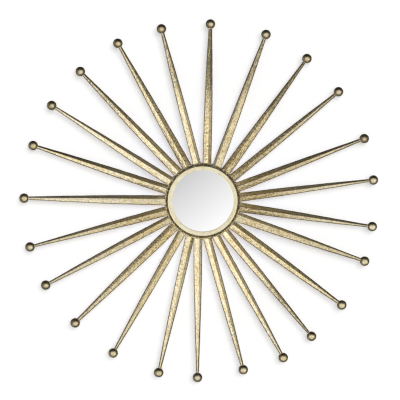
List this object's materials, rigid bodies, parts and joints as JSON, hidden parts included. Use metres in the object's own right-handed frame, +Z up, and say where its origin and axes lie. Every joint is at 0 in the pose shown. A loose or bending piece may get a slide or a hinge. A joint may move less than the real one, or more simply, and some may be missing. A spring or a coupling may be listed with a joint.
{
  "type": "sunburst wall mirror",
  "caption": "Wall mirror with a small round glass in a raised bezel, ringed by hammered gold-leafed bars that taper to balls; hangs from a D-ring on the back.",
  "frame": {"origin": "on the hub axis, in the wall plane: the centre of the soft ring's rear face", "axes": "+Z up as hung, +Y towards the wall (the glass faces -Y), +X to the viewer's right"},
  "size_m": [0.7535, 0.032, 0.7621],
  "materials": {
    "gilded_rays": "antique gold leaf over a dark ground on hammered steel",
    "gilded_balls": "antique gold leaf over a dark ground, worn dark at the edges",
    "gilded_bezel": "pale gold leaf, lightly patched",
    "dark_gilded_hoop": "dark ground with traces of gold leaf",
    "mirror": "silvered float glass",
    "foam": "closed-cell foam",
    "board": "medium density fibreboard",
    "black_steel": "black powder coat",
    "zinc": "bright zinc plate",
    "zinc_wire": "bright zinc plate",
    "felt": "dense dark felt"
  },
  "bodies": {
    "mirror": {"ray_01": "gilded_rays", "ray_02": "gilded_rays", "ray_03": "gilded_rays", "ray_04": "gilded_rays", "ray_05": "gilded_rays", "ray_06": "gilded_rays", "ray_07": "gilded_rays", "ray_08": "gilded_rays", "ray_09": "gilded_rays", "ray_10": "gilded_rays", "ray_11": "gilded_rays", "ray_12": "gilded_rays", "ray_13": "gilded_rays", "ray_14": "gilded_rays", "ray_15": "gilded_rays", "ray_16": "gilded_rays", "ray_17": "gilded_rays", "ray_18": "gilded_rays", "ray_19": "gilded_rays", "ray_20": "gilded_rays", "ray_21": "gilded_rays", "ray_22": "gilded_rays", "ray_23": "gilded_rays", "ray_24": "gilded_rays", "ball_01": "gilded_balls", "ball_02": "gilded_balls", "ball_03": "gilded_balls", "ball_04": "gilded_balls", "ball_05": "gilded_balls", "ball_06": "gilded_balls", "ball_07": "gilded_balls", "ball_08": "gilded_balls", "ball_09": "gilded_balls", "ball_10": "gilded_balls", "ball_11": "gilded_balls", "ball_12": "gilded_balls", "ball_13": "gilded_balls", "ball_14": "gilded_balls", "ball_15": "gilded_balls", "ball_16": "gilded_balls", "ball_17": "gilded_balls", "ball_18": "gilded_balls", "ball_19": "gilded_balls", "ball_20": "gilded_balls", "ball_21": "gilded_balls", "ball_22": "gilded_balls", "ball_23": "gilded_balls", "ball_24": "gilded_balls", "bezel_ring": "gilded_bezel", "hub_hoop": "dark_gilded_hoop", "mirror_glass": "mirror", "foam_pad": "foam", "backing_board": "board", "back_plate": "black_steel", "back_plate_screws": "zinc", "hanger_strap": "zinc", "hanger_screws": "zinc", "wall_ring": "felt"},
    "hanger_ring": {"hanger_ring": "zinc_wire"}
  },
  "joints": [
    {"name": "hanger_ring_hinge", "type": "hinge", "parent": "mirror", "child": "hanger_ring", "pos_m": [0, -0.0055, 0.044], "axis": [-1, 0, 0], "range_deg": [-4, 170]}
  ]
}
